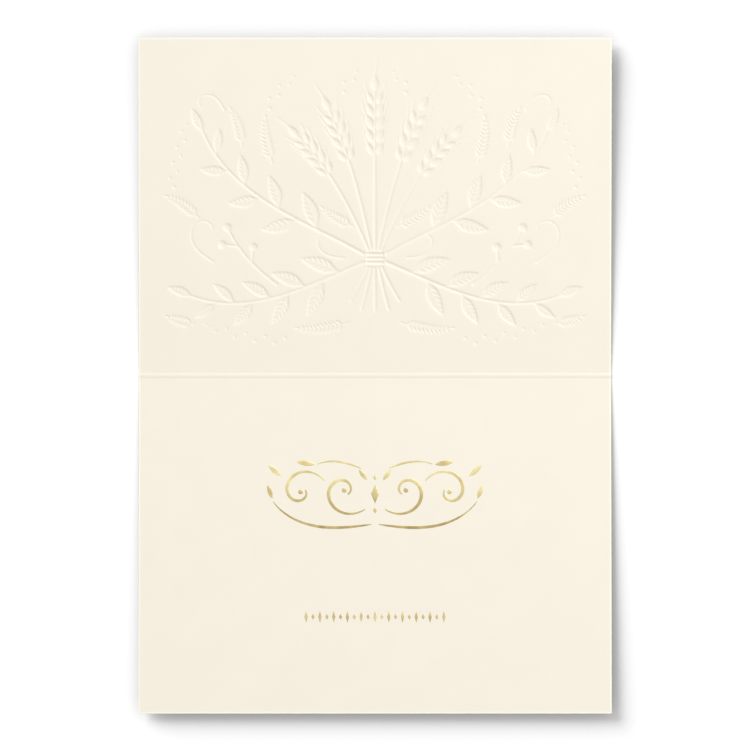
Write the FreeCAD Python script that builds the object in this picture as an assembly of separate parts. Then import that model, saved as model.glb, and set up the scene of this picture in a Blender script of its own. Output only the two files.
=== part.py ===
# A greeting card lying open on its outside faces, inside up, in millimetres.
# X runs along the crease, Y across it towards the top edge of the cover, and Z is up.
# The crease is on the X axis and the floor is at Z = 0.

import FreeCAD, Part
import math
import os

from FreeCAD import Vector

os.makedirs("parts", exist_ok=True)

# The sheet. A standard 5 by 7 inch card: each panel is 7 inches wide and 5 inches deep.
card_width = 177.8
panel_depth = 127.0
stock_thickness = 0.36
# Card that has been folded never opens quite flat, so each panel rises by this angle.
rise_deg = 2.0

# The crease. Scored from outside, so a bead stands up inside and a groove is left outside.
bead_width = 1.9
bead_height = 0.15
bead_root_radius = 0.4

# The pressed ornament on the cover panel. It is drawn about the tie of the sheaf, and scaled
# so that it keeps its side margins. The tie lies at a share of the panel's depth.
art_margin = 9.9
drawn_width = 158.0
tie_share = 0.3465
press_depth = 0.25
press_slant = 0.3
stem_depth = 0.15
stem_slant = 0.12

# The foil on the back panel: a scroll ornament, and a rule of small lozenges below it. Both
# lie at a share of the panel's depth from the crease.
foil_thickness = 0.04
scroll_width = 81.0
drawn_scroll_width = 81.0
scroll_share = 0.3512
rule_length = 53.0
rule_share = 0.7142
rule_count = 21
rule_lozenge_long = 4.4
rule_lozenge_short = 2.2
rule_lozenge_width = 1.3

tie_height = tie_share * panel_depth
scroll_height = scroll_share * panel_depth
rule_height = rule_share * panel_depth
art_scale = (card_width - 2 * art_margin) / drawn_width
scroll_scale = scroll_width / drawn_scroll_width
# Height of the inside faces where they meet the bead. The outside of the crease is on the floor.
crease_top = stock_thickness * math.cos(math.radians(rise_deg))
# A tool reaches past the face it works from by this much, so no two faces lie in one plane.
reach = 0.05

# Ears of the sheaf, for the middle and the right half. Each has its start beside the tie,
# its heading in degrees, the length of its stalk, the bend of the stalk at its two ends in
# degrees per millimetre, the length of the ear and the length of its grains.
EARS = [
    (0.0, 3.0, 90.0, 35.2, 0.0, 0.0, 24.0, 6.6),
    (1.2, 3.0, 78.0, 34.2, -0.06, -0.30, 20.0, 6.4),
    (2.2, 2.6, 67.0, 32.2, -0.14, -0.55, 18.0, 6.2),
]
pair_counts = [5, 4, 4]
stalk_gap = 0.8
stalk_width = 0.8
grain_slim = 0.46
grain_angle = 26.0
grain_offset = 0.75
# Curved outlines are drawn with this many straight sides from tip to tip.
grain_sides = 5
leaf_sides = 6

# Cut ends of the straw below the tie: start, heading, length and bend.
STRAWS = [
    (0.0, -3.0, 270.0, 17.0, 0.0),
    (1.3, -3.0, 281.0, 17.0, 0.3),
    (2.4, -2.8, 293.0, 15.0, 0.6),
]
straw_width = 0.8

# The three bands of the tie.
band_count = 3
band_pitch = 1.6
band_length = 6.8
band_width = 0.9

# Leafy branches: start, heading, length, bend at the two ends, distance to the first leaf,
# pitch, length of the first and of the last leaf, and of the end leaf.
BRANCHES = [
    (3.9, -1.3, -22.0, 67.6, -0.30, 1.55, 10.0, 6.9, 15.2, 9.4, 9.8),
    (3.9, 1.5, 30.0, 77.5, -0.40, 1.35, 20.0, 8.0, 14.8, 9.4, 9.8),
]
leaf_counts = [8, 7]
branch_width = 1.0
branch_end_width = 0.6
leaf_slim = 0.38
leaf_angle = 42.0
leaf_gap = 1.1

# Berry sprigs: start, heading, length and bend at the two ends, and where the berries hang,
# as shares of the length with the side each one is on.
SPRIGS = [(36.6, -10.0, 36.0, 27.0, 0.6, 1.4)]
BERRIES = [(0.48, 1), (0.78, -1)]
sprig_width = 0.7
berry_radius = 1.6
berry_stalk = 2.6
berry_gap = 0.5
berry_angle = 50.0

# Scrolls of the foil ornament: eye, outer and inner radius, start angle and turn in degrees,
# and the width of the stroke where it starts, at its fullest and where it ends.
SCROLLS = [
    (11.6, 1.4, 10.6, 2.0, 222.0, 366.0, 0.35, 1.3, 0.6),
    (28.0, 0.8, 10.0, 1.9, 156.0, -360.0, 0.35, 1.25, 0.6),
]
scroll_sides = 24
eye_dot = 0.9
# Single leaves of the foil ornament: base, heading, length and width.
FOIL_LEAVES = [
    (22.5, 11.1, 8.0, 7.2, 2.0),
    (35.4, 6.6, 42.0, 6.4, 1.9),
    (38.6, -1.8, 70.0, 5.4, 1.7),
    (3.0, 5.2, 52.0, 5.0, 1.6),
]
# Long strokes under and over the scrolls: start, heading, length, bend at the two ends and
# the width of the stroke at its fullest.
SWASHES = [
    (1.4, -11.4, -8.0, 40.0, 0.1, 3.0, 1.1),
    (5.2, 9.6, 24.0, 17.0, -1.0, -4.5, 0.8),
]
swash_end_width = 0.3
# Lozenges down the middle: height above the centre, length and width.
LOZENGES = [(0.0, 7.0, 3.0), (6.2, 2.2, 1.5), (-6.2, 2.2, 1.5)]


def sweep(x, y, heading, length, bend_in, bend_out, steps=60):
    """Points of a curve whose bend changes evenly: distance, x, y and heading in degrees."""
    points = []
    step = length / steps
    for i in range(steps + 1):
        far = i * step
        turn = bend_in * far + (bend_out - bend_in) * far * far / (2 * length)
        points.append((far, x, y, heading + turn))
        mid = far + step / 2
        turn = bend_in * mid + (bend_out - bend_in) * mid * mid / (2 * length)
        angle = math.radians(heading + turn)
        x += step * math.cos(angle)
        y += step * math.sin(angle)
    return points


def point_at(path, far):
    """The place and heading at a distance along a path."""
    step = path[1][0] - path[0][0]
    i = min(int(far / step), len(path) - 2)
    share = far / step - i
    a = path[i]
    b = path[i + 1]
    return tuple(a[k] + (b[k] - a[k]) * share for k in (1, 2, 3))


def moved(x, y, heading, ahead, aside):
    """A point ahead of a place and to its left."""
    angle = math.radians(heading)
    across = (-math.sin(angle), math.cos(angle))
    return (
        x + ahead * math.cos(angle) + aside * across[0],
        y + ahead * math.sin(angle) + aside * across[1],
    )


def lens(x, y, heading, length, width, sides):
    """A leaf or a grain: two equal arcs from tip to tip, each drawn with short straight sides.

    Every outline here is a list of points that runs anticlockwise.
    """
    radius = (length * length / 4 + width * width / 4) / width
    sink = radius - width / 2
    half = math.acos(sink / radius)
    points = []
    for way in (-1, 1):
        for k in range(sides):
            angle = half * (2 * k / sides - 1)
            ahead = length / 2 - way * radius * math.sin(angle)
            aside = way * (radius * math.cos(angle) - sink)
            points.append(moved(x, y, heading, ahead, aside))
    return points


def stroke(path, widths, stations):
    """The outline of a stroke that follows a path, with square ends."""
    last = len(path) - 1
    left = []
    right = []
    for k in range(stations + 1):
        i = round(last * k / stations)
        far, x, y, heading = path[i]
        half = widths(i / last) / 2
        left.append(moved(x, y, heading, 0, half))
        right.append(moved(x, y, heading, 0, -half))
    return right + left[::-1]


def dot(x, y, radius, sides=12):
    """A round outline, drawn with short straight sides."""
    turns = [2 * math.pi * k / sides for k in range(sides)]
    return [(x + radius * math.cos(a), y + radius * math.sin(a)) for a in turns]


def grown(points, distance):
    """An outline with every side moved outwards by a distance."""
    count = len(points)
    moved_sides = []
    for k in range(count):
        ax, ay = points[k]
        bx, by = points[(k + 1) % count]
        length = math.hypot(bx - ax, by - ay)
        ux, uy = (bx - ax) / length, (by - ay) / length
        moved_sides.append((ax + uy * distance, ay - ux * distance, ux, uy))
    corners = []
    for k in range(count):
        ax, ay, aux, auy = moved_sides[k - 1]
        bx, by, bux, buy = moved_sides[k]
        cross = aux * buy - auy * bux
        if abs(cross) < 1e-6:
            corners.append((bx, by))
            continue
        along = ((bx - ax) * buy - (by - ay) * bux) / cross
        corners.append((ax + along * aux, ay + along * auy))
    return corners


def block(low, low_z, high, high_z):
    """A solid between an outline and a higher one that has as many sides."""
    count = len(low)
    under = [Vector(x, y, low_z) for x, y in low]
    over = [Vector(x, y, high_z) for x, y in high]
    faces = [
        Part.Face(Part.makePolygon(under + under[:1])),
        Part.Face(Part.makePolygon(over + over[:1])),
    ]
    for k in range(count):
        n = (k + 1) % count
        corners = [under[k], under[n], over[n], over[k], under[k]]
        faces.append(Part.Face(Part.makePolygon(corners)))
    solid = Part.makeSolid(Part.makeShell(faces))
    if solid.Volume < 0:
        solid.reverse()
    return solid


def press(outline, depth, slant):
    """The hollow left inside and the boss raised outside by one pressed form.

    The two walls are parallel, so the sheet keeps its thickness through the slope.
    """
    slope = math.atan2(depth, slant)
    shift = stock_thickness * math.tan(slope / 2)
    spread = reach / math.tan(slope)
    back = -stock_thickness
    hollow = block(grown(outline, -slant), -depth, grown(outline, spread), reach)
    boss = block(
        grown(outline, shift - slant),
        back - depth,
        grown(outline, shift + spread),
        back + reach,
    )
    return hollow, boss


def scaled(values):
    """Drawn sizes of the ornament at its real scale."""
    return [value * art_scale for value in values]


def forms():
    """Every pressed form: its outline, its depth and the slant of its walls."""
    found = []

    def add_lens(x, y, heading, length, slim, straight):
        outline = lens(x, y, heading, length, length * slim, straight)
        found.append((outline, press_depth, press_slant))

    def add_stroke(path, width, end_width, stations):
        def widths(share):
            return width + (end_width - width) * share

        found.append((stroke(path, widths, stations), stem_depth, stem_slant))

    def add_dot(x, y, radius):
        found.append((dot(x, y, radius), press_depth, press_slant))

    def placed(x, y):
        return x * art_scale, tie_height + y * art_scale

    sides = (1, -1)
    for ear, pairs in zip(EARS, pair_counts):
        x, y, heading, length, bend_in, bend_out, ear_length, grain = ear
        x, y = placed(x, y)
        length, ear_length, grain = scaled([length, ear_length, grain])
        stations = 1 if bend_out == 0 else 3
        ways = (1,) if x == 0 else sides
        for way in ways:
            facing = heading if way == 1 else 180 - heading
            bends = (way * bend_in / art_scale, way * bend_out / art_scale)
            path = sweep(way * x, y, facing, length, *bends)
            add_stroke(path, stalk_width * art_scale, stalk_width * art_scale, stations)
            far, px, py, turned = path[-1]
            start = moved(px, py, turned, stalk_gap * art_scale, 0)
            spine = sweep(*start, turned, ear_length, bends[1], bends[1])
            for k in range(pairs):
                share = k / pairs
                size = grain * (1 - 0.28 * abs(2 * share - 0.7))
                gx, gy, aim = point_at(spine, share * ear_length)
                for side in sides:
                    base = moved(gx, gy, aim, 0, side * grain_offset * art_scale)
                    add_lens(*base, aim + side * grain_angle, size, grain_slim, grain_sides)
            gx, gy, aim = point_at(spine, ear_length)
            add_lens(gx, gy, aim, grain, grain_slim, grain_sides)

    for x, y, heading, length, bend in STRAWS:
        x, y = placed(x, y)
        length = length * art_scale
        stations = 1 if bend == 0 else 2
        ways = (1,) if x == 0 else sides
        for way in ways:
            facing = heading if way == 1 else 180 - heading
            turn = way * bend / art_scale
            path = sweep(way * x, y, facing, length, turn, turn)
            add_stroke(path, straw_width * art_scale, straw_width * art_scale, stations)

    for k in range(band_count):
        y = (k - (band_count - 1) / 2) * band_pitch
        x, y = placed(-band_length / 2, y)
        path = sweep(x, y, 0, band_length * art_scale, 0, 0)
        add_stroke(path, band_width * art_scale, band_width * art_scale, 1)

    for branch, count in zip(BRANCHES, leaf_counts):
        x, y, heading, length, bend_in, bend_out, first, pitch, size, end, tip = branch
        x, y = placed(x, y)
        length, first, pitch, size, end, tip = scaled([length, first, pitch, size, end, tip])
        gap = leaf_gap * art_scale
        for way in sides:
            facing = heading if way == 1 else 180 - heading
            bends = (way * bend_in / art_scale, way * bend_out / art_scale)
            path = sweep(way * x, y, facing, length, *bends)
            add_stroke(path, branch_width * art_scale, branch_end_width * art_scale, 6)
            for k in range(count):
                side = way if k % 2 == 0 else -way
                lx, ly, aim = point_at(path, first + k * pitch)
                aim = aim + side * leaf_angle
                base = moved(lx, ly, aim, gap, 0)
                long = size + (end - size) * k / (count - 1)
                add_lens(*base, aim, long, leaf_slim, leaf_sides)
            far, lx, ly, aim = path[-1]
            base = moved(lx, ly, aim, gap * 0.7, 0)
            add_lens(*base, aim, tip, leaf_slim, leaf_sides)

    for x, y, heading, length, bend_in, bend_out in SPRIGS:
        x, y = placed(x, y)
        length = length * art_scale
        width = sprig_width * art_scale
        for way in sides:
            facing = heading if way == 1 else 180 - heading
            bends = (way * bend_in / art_scale, way * bend_out / art_scale)
            path = sweep(way * x, y, facing, length, *bends)
            add_stroke(path, width, width, 3)
            hang = (berry_gap + berry_radius) * art_scale
            for share, side in BERRIES:
                bx, by, aim = point_at(path, share * length)
                aim = aim + way * side * berry_angle
                start = moved(bx, by, aim, (sprig_width + berry_gap) * art_scale, 0)
                stalk = sweep(*start, aim, berry_stalk * art_scale, 0, 0)
                add_stroke(stalk, width, width, 1)
                far, bx, by, aim = stalk[-1]
                add_dot(*moved(bx, by, aim, hang, 0), berry_radius * art_scale)
            far, bx, by, aim = path[-1]
            add_dot(*moved(bx, by, aim, hang, 0), berry_radius * art_scale)
    return found


def sheet():
    """The folded sheet before it is pressed: its section across the crease, drawn along X."""
    rise = math.radians(rise_deg)
    half = bead_width / 2
    far = half + (panel_depth - half) * math.cos(rise)
    lift = (panel_depth - half) * math.sin(rise)
    top = crease_top
    radius = (half * half + bead_height * bead_height) / (2 * bead_height)
    centre = top + bead_height - radius
    inner = radius - stock_thickness
    out = stock_thickness * math.sin(rise)
    lip = math.sqrt(inner * inner - centre * centre)

    def at(y, z):
        return Vector(-card_width / 2, y, z)

    edges = [
        Part.Arc(at(-half, top), at(0, top + bead_height), at(half, top)).toShape(),
        Part.makeLine(at(half, top), at(far, top + lift)),
        Part.makeLine(at(far, top + lift), at(far + out, lift)),
        Part.makeLine(at(far + out, lift), at(half + out, 0)),
        Part.makeLine(at(half + out, 0), at(lip, 0)),
        Part.Arc(at(lip, 0), at(0, centre + inner), at(-lip, 0)).toShape(),
        Part.makeLine(at(-lip, 0), at(-half - out, 0)),
        Part.makeLine(at(-half - out, 0), at(-far - out, lift)),
        Part.makeLine(at(-far - out, lift), at(-far, top + lift)),
        Part.makeLine(at(-far, top + lift), at(-half, top)),
    ]
    section = Part.Face(Part.Wire(edges))
    solid = section.extrude(Vector(card_width, 0, 0))
    roots = []
    for edge in solid.Edges:
        middle = edge.CenterOfMass
        along = edge.BoundBox.XLength > card_width / 2
        if along and abs(abs(middle.y) - half) < 0.001 and abs(middle.z - top) < 0.001:
            roots.append(edge)
    return solid.makeFillet(bead_root_radius, roots)


def on_panel(shape, way):
    """Moves a shape drawn on a flat panel onto the cover (1) or the back panel (-1)."""
    placed = shape.copy()
    placed.translate(Vector(0, 0, crease_top))
    pivot = Vector(0, way * bead_width / 2, crease_top)
    placed.rotate(pivot, Vector(1, 0, 0), way * rise_deg)
    return placed


# The card: one sheet, creased, with the ornament pressed through the cover.
hollows = []
bosses = []
for outline, depth, slant in forms():
    hollow, boss = press(outline, depth, slant)
    hollows.append(on_panel(hollow, 1))
    bosses.append(on_panel(boss, 1))
card = sheet().fuse(bosses)
card = card.cut(hollows)
card = card.Solids[0]


def raised(outline):
    """Foil of the stated thickness within an outline."""
    return block(outline, 0, outline, foil_thickness)


def lozenge(x, y, width, height):
    """The outline of a lozenge about its centre."""
    corners = [(width / 2, 0), (0, height / 2), (-width / 2, 0), (0, -height / 2)]
    return [(x + cx, y + cy) for cx, cy in corners]


def scroll_path(x, y, radius, eye_radius, start, turn, steps=60):
    """A spiral that closes in on its eye by the same share at every step."""
    places = []
    for i in range(steps + 1):
        share = i / steps
        reach_in = radius * (eye_radius / radius) ** share
        angle = math.radians(start + turn * share)
        places.append((x + reach_in * math.cos(angle), y + reach_in * math.sin(angle)))
    path = []
    for i in range(steps + 1):
        a = places[max(i - 1, 0)]
        b = places[min(i + 1, steps)]
        heading = math.degrees(math.atan2(b[1] - a[1], b[0] - a[0]))
        path.append((i, places[i][0], places[i][1], heading))
    return path


def mirrored(shape):
    """A shape together with its mirror image across the middle of the card."""
    return [shape, shape.mirror(Vector(0, 0, 0), Vector(1, 0, 0))]


def swelling(start, full, end):
    """A stroke width that swells to its fullest two fifths of the way along."""
    power = math.log(0.5) / math.log(0.4)

    def widths(share):
        edge = start + (end - start) * share
        swell = math.sin(math.pi * share**power)
        return (edge + (full - edge) * swell) * scroll_scale

    return widths


# The foil ornament, drawn about its own centre.
strokes = []
for x, y, radius, eye_radius, start, turn, thin, full, end in SCROLLS:
    sizes = [value * scroll_scale for value in (x, y, radius, eye_radius)]
    path = scroll_path(*sizes, start, turn)
    strokes += mirrored(raised(stroke(path, swelling(thin, full, end), scroll_sides)))
    strokes += mirrored(raised(dot(sizes[0], sizes[1], eye_dot * scroll_scale)))
for x, y, heading, length, bend_in, bend_out, full in SWASHES:
    sizes = [x * scroll_scale, y * scroll_scale, heading, length * scroll_scale]
    bends = [bend_in / scroll_scale, bend_out / scroll_scale]
    path = sweep(*sizes, *bends)
    widths = swelling(swash_end_width, full, swash_end_width)
    strokes += mirrored(raised(stroke(path, widths, 8)))
for x, y, heading, length, width in FOIL_LEAVES:
    x, y, length, width = [value * scroll_scale for value in (x, y, length, width)]
    strokes += mirrored(raised(lens(x, y, heading, length, width, leaf_sides)))
for y, height, width in LOZENGES:
    y, height, width = [value * scroll_scale for value in (y, height, width)]
    strokes.append(raised(lozenge(0, y, width, height)))

# The rule: long and short lozenges in turn.
marks = []
rule_pitch = (rule_length - rule_lozenge_width) / (rule_count - 1)
for k in range(rule_count):
    x = (k - (rule_count - 1) / 2) * rule_pitch
    height = rule_lozenge_long if k % 2 == 0 else rule_lozenge_short
    marks.append(raised(lozenge(x, 0, rule_lozenge_width, height)))


def on_back(shapes, height):
    """Foil shapes laid on the back panel at a distance below the crease."""
    whole = Part.makeCompound(shapes)
    whole.translate(Vector(0, -height, 0))
    return on_panel(whole, -1)


foil_scroll = on_back(strokes, scroll_height)
foil_rule = on_back(marks, rule_height)

card.exportStep("parts/card.step")
foil_scroll.exportStep("parts/foil_scroll.step")
foil_rule.exportStep("parts/foil_rule.step")
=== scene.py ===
# %% [markdown]
# # A greeting card with embossing and gold foil
#
# The card lies open, inside up, and is seen from straight above. It is one sheet of ivory
# stock, scored and folded across its middle. An ornament of ears, branches and berries is
# pressed through the cover panel, and gold foil is stamped on the back panel. The sheet is
# rebuilt here as a relief that is pressed by dies, as the real one is, and the foil is drawn
# with strokes that follow paths.

import math

import bpy
import numpy as np
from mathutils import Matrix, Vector
from mathutils.bvhtree import BVHTree


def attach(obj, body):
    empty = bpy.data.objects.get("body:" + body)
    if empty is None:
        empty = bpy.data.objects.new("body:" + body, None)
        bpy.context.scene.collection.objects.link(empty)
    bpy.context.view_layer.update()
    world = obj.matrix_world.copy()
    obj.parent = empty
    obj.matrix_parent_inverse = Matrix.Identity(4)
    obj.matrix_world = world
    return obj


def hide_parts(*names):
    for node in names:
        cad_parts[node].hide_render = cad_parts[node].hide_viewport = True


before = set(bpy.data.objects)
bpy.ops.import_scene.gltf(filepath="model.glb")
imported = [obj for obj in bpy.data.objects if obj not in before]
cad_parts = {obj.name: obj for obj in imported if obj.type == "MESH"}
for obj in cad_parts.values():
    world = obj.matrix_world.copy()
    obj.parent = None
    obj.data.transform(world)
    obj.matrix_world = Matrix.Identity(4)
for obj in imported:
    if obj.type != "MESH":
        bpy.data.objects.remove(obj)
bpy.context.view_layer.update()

# %% [markdown]
# ## Camera
#
# The camera looks straight down from far off with a long lens, so the card keeps its square
# shape and its raised edges hardly look larger than its crease. The picture is as wide as
# SEEN_WIDTH half-way up the raised panels. These lengths are in metres.

# %% Camera
SEEN_WIDTH = 0.282
HALF_WAY_UP = 0.0022
OFF_CENTRE = 0.0002
lens = bpy.data.cameras.new("camera")
lens.lens = 200.0
lens.sensor_width = 36.0
lens.clip_start = 0.05
lens.clip_end = 20.0
camera = bpy.data.objects.new("camera", lens)
eye_height = SEEN_WIDTH * lens.lens / lens.sensor_width + HALF_WAY_UP
camera.location = (0.0, OFF_CENTRE, eye_height)
bpy.context.scene.collection.objects.link(camera)
bpy.context.scene.camera = camera
print("camera height", round(camera.location.z, 3), "m")

# %% [markdown]
# ## Sizes
#
# All lengths are in millimetres until a shape is laid on the folded card, which turns them
# into metres. A place on the unfolded sheet is given by x along the crease and s across it,
# positive on the cover panel, with h as the height above the inside face.
#
# The tie of the sheaf, the scroll ornament and the rule each lie at their own distance from
# the crease. The groove is a little narrower than the bead, because the stock bends round
# it, and the card stands on its two lips.

# %% Sizes
WIDTH = 177.8
DEPTH = 127.0
STOCK = 0.36
RISE = math.radians(2.0)
BEAD_WIDTH = 1.9
BEAD_HEIGHT = 0.15
TIE = 0.3465 * DEPTH
SCROLL = 0.3512 * DEPTH
RULE = 0.7142 * DEPTH
HALF_BEAD = BEAD_WIDTH / 2
HALF_GROOVE = 0.89
CREASE_TOP = STOCK * math.cos(RISE)
print("unfolded sheet", WIDTH, "by", 2 * DEPTH)

# %% [markdown]
# ## The fold
#
# Creased stock springs back a little, so each panel rises from the crease, and it sags
# slightly under its own weight. Every shape that belongs to the card passes through the same
# function, so the foil follows the sheet.

# %% Laying on the folded card
SAG = 0.2
LESS_AT_SIDES = 0.2
SAG_SPAN = 40


def lay(x, s, h):
    """Places on the unfolded sheet, in millimetres, as points of the open card in metres."""
    x, s, h = np.broadcast_arrays(*(np.asarray(v, float) for v in (x, s, h)))
    way = np.where(s < 0, -1.0, 1.0)
    run = np.maximum(np.abs(s) - HALF_BEAD, 0)
    share = run / (DEPTH - HALF_BEAD)
    even = 1 - LESS_AT_SIDES + LESS_AT_SIDES * np.cos(x / SAG_SPAN)
    sag = SAG * 4 * share * (1 - share) * even
    y = way * (np.abs(s) - run + run * math.cos(RISE) - h * math.sin(RISE))
    z = CREASE_TOP + run * math.sin(RISE) + h * math.cos(RISE) + sag
    return np.stack([x, y, z], axis=-1) / 1000


print("free edge of the cover is up", round(lay(0, DEPTH, 0)[2] * 1000, 2), "mm")

# %% [markdown]
# ## Paths
#
# Stems, straws and strokes of foil all follow curves whose bend changes evenly from one end
# to the other, as a pen's stroke does. A path is kept as a line of edges that carries its
# own width, so a node tree can read both.

# %% Paths


def sweep(x, y, heading, length, bend_in, bend_out, steps=60):
    """Points of a curve from its start, its heading and its bend, in degrees and mm."""
    far = np.linspace(0, length, steps + 1)
    mid = (far[1:] + far[:-1]) / 2
    turn = bend_in * mid + (bend_out - bend_in) * mid**2 / (2 * length)
    angle = np.radians(heading + turn)
    step = length / steps
    xs = x + np.concatenate([[0], np.cumsum(step * np.cos(angle))])
    ys = y + np.concatenate([[0], np.cumsum(step * np.sin(angle))])
    return np.stack([xs, ys], axis=1)


def flip(points):
    """The mirror image of a path across the middle of the card."""
    return points * [-1, 1]


def end_heading(points):
    """The heading in degrees in which a path ends."""
    dx, dy = points[-1] - points[-2]
    return math.degrees(math.atan2(dy, dx))


# %% Paths as objects


def path_object(name, strokes):
    """Lines of edges, one for each stroke of points and half widths."""
    verts = []
    edges = []
    widths = []
    for points, half in strokes:
        first = len(verts)
        verts += [(px, py, 0.0) for px, py in points]
        edges += [(k, k + 1) for k in range(first, len(verts) - 1)]
        widths += np.broadcast_to(half, len(points)).tolist()
    mesh = bpy.data.meshes.new(name)
    mesh.from_pydata(verts, edges, [])
    mesh.attributes.new("width", "FLOAT", "POINT").data.foreach_set("value", widths)
    obj = bpy.data.objects.new(name, mesh)
    bpy.context.scene.collection.objects.link(obj)
    return obj


# %% [markdown]
# ## Node trees
#
# One function adds a node with its settings and its inputs, for shaders and geometry alike.
# Another starts a geometry tree, and a third turns what a tree makes into a plain mesh.

# %% Adding nodes
FLOAT = "NodeSocketFloat"
INT = "NodeSocketInt"
OBJECT = "NodeSocketObject"
MATH = "ShaderNodeMath"


def add(tree, kind, *inputs, **settings):
    """A new node. Inputs are values, sockets or nodes in order, or a dict of them by name."""
    made = tree.nodes.new(kind)
    for key, value in settings.items():
        setattr(made, key, value)
    named = inputs[0] if inputs and isinstance(inputs[0], dict) else dict(enumerate(inputs))
    for key, value in named.items():
        if isinstance(value, bpy.types.Node):
            value = value.outputs[0]
        if isinstance(value, bpy.types.NodeSocket):
            tree.links.new(value, made.inputs[key])
        else:
            made.inputs[key].default_value = value
    return made


# %% Geometry trees


def geometry_tree(name, inputs):
    """A geometry tree with named inputs (name, socket type, default), and its two ends."""
    tree = bpy.data.node_groups.new(name, "GeometryNodeTree")
    tree.interface.new_socket("Geometry", in_out="INPUT", socket_type="NodeSocketGeometry")
    tree.interface.new_socket("Geometry", in_out="OUTPUT", socket_type="NodeSocketGeometry")
    for label, kind, default in inputs:
        socket = tree.interface.new_socket(label, in_out="INPUT", socket_type=kind)
        if default is not None:
            socket.default_value = default
    given = tree.nodes.new("NodeGroupInput").outputs
    return tree, given, tree.nodes.new("NodeGroupOutput").inputs[0]


def grown_mesh(obj, tree, values):
    """What the tree makes of an object, as a plain mesh. The object itself is removed."""
    modifier = obj.modifiers.new("grow", "NODES")
    modifier.node_group = tree
    for item in tree.interface.items_tree:
        if item.in_out == "INPUT" and item.name in values:
            modifier[item.identifier] = values[item.name]
    bpy.context.view_layer.update()
    graph = bpy.context.evaluated_depsgraph_get()
    mesh = bpy.data.meshes.new_from_object(obj.evaluated_get(graph))
    source = obj.data
    bpy.data.objects.remove(obj)
    bpy.data.meshes.remove(source)
    return mesh


# %% [markdown]
# ## Materials
#
# Colours are given as they look on a screen and turned into the values that light works
# with.

# %% Colours


def colour(text):
    """A screen colour such as F8F1E1 as linear red, green, blue and alpha."""
    parts = [int(text[k : k + 2], 16) / 255 for k in (0, 2, 4)]
    linear = [v / 12.92 if v <= 0.04045 else ((v + 0.055) / 1.055) ** 2.4 for v in parts]
    return (*linear, 1.0)


def material(name):
    """A new material, its tree and its main shader."""
    made = bpy.data.materials.new(name)
    made.use_nodes = True
    return made, made.node_tree, made.node_tree.nodes["Principled BSDF"]


print("ivory in linear light", [round(v, 3) for v in colour("F8F1E1")[:3]])

# %% [markdown]
# ### Uncoated card stock
#
# Ivory stock without a coating is matt. Its pulp is a little cloudy and its fibres give it a
# fine tooth. Along the cut edge it is painted paler, a painted highlight of the edge in light.
# A pattern's scale is how often it fits in a metre, so the clouds are 14 mm wide. The tooth
# is drawn 0.6 mm wide, twice as coarse as it is, so that it shows at all.

# %% Card stock
TOOTH_HEIGHT = 0.000018
card_stock, tree, shader = material("ivory_uncoated_card")
where = add(tree, "ShaderNodeTexCoord").outputs["Object"]
cloud = add(tree, "ShaderNodeTexNoise", {"Vector": where, "Scale": 70.0, "Detail": 4.0})
tooth = add(tree, "ShaderNodeTexNoise", {"Vector": where, "Scale": 1700.0, "Detail": 3.0})
# Painted highlight: where rim is 1, along the cut edge, the colour is painted a pale FFFDEE, as
# if the edge caught the light.
rim = add(tree, "ShaderNodeAttribute", attribute_name="rim").outputs["Fac"]
pulp = {0: cloud, 6: colour("F7F0E0"), 7: colour("FBF4E5")}
pulp = add(tree, "ShaderNodeMix", pulp, data_type="RGBA").outputs[2]
paper = {0: rim, 6: pulp, 7: colour("FFFDEE")}
paper = add(tree, "ShaderNodeMix", paper, data_type="RGBA").outputs[2]
bump = {"Height": tooth, "Strength": 1.0, "Distance": TOOTH_HEIGHT}
bump = add(tree, "ShaderNodeBump", bump)
tree.links.new(paper, shader.inputs["Base Color"])
tree.links.new(bump.outputs[0], shader.inputs["Normal"])
shader.inputs["Roughness"].default_value = 0.85
shader.inputs["Specular IOR Level"].default_value = 0.2
print(card_stock.name, len(tree.nodes), "nodes")

# %% [markdown]
# ### Hot-stamped gold foil
#
# A metal film under a gold lacquer. It takes up the tooth of the stock, so it is satin and
# not a mirror. Its gold is painted paler and deeper in broad bands, about 4 cm apart, which
# wander a little along each stroke: a painted reflection, the changing glint of the film.

# %% Gold foil
GRIT_HEIGHT = 0.00008
gold_foil, tree, shader = material("hot_stamped_gold_foil")
where = add(tree, "ShaderNodeTexCoord").outputs["Object"]
# Painted reflection: the bands and the wander along the strokes paint the film's changing glint
# into its colour.
band = {"Vector": where, "Scale": 7.14, "Distortion": 1.2, "Detail Scale": 12.0}
band |= {"Phase Offset": 2.0}
band = add(tree, "ShaderNodeTexWave", band, bands_direction="Y")
drift = add(tree, "ShaderNodeTexNoise", {"Vector": where, "Scale": 210.0, "Detail": 2.0})
drift = add(tree, "ShaderNodeMapRange", {"Value": drift, "From Min": 0.33, "From Max": 0.67})
painted_reflection = add(tree, "ShaderNodeMix", 0.5, data_type="FLOAT")
tree.links.new(band.outputs["Fac"], painted_reflection.inputs[2])
tree.links.new(drift.outputs[0], painted_reflection.inputs[3])
# The gold is the film's own colour; the pale and deep ends of its range are the painted
# reflection.
gold = {0: painted_reflection, 6: colour("A58C58"), 7: colour("E8DCA4")}
gold = add(tree, "ShaderNodeMix", gold, data_type="RGBA").outputs[2]
grit = add(tree, "ShaderNodeTexNoise", {"Vector": where, "Scale": 1100.0, "Detail": 3.0})
bump = {"Height": grit, "Strength": 0.6, "Distance": GRIT_HEIGHT}
bump = add(tree, "ShaderNodeBump", bump)
tree.links.new(gold, shader.inputs["Base Color"])
tree.links.new(bump.outputs[0], shader.inputs["Normal"])
shader.inputs["Metallic"].default_value = 1.0
shader.inputs["Roughness"].default_value = 0.36
print(gold_foil.name, len(tree.nodes), "nodes")

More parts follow.
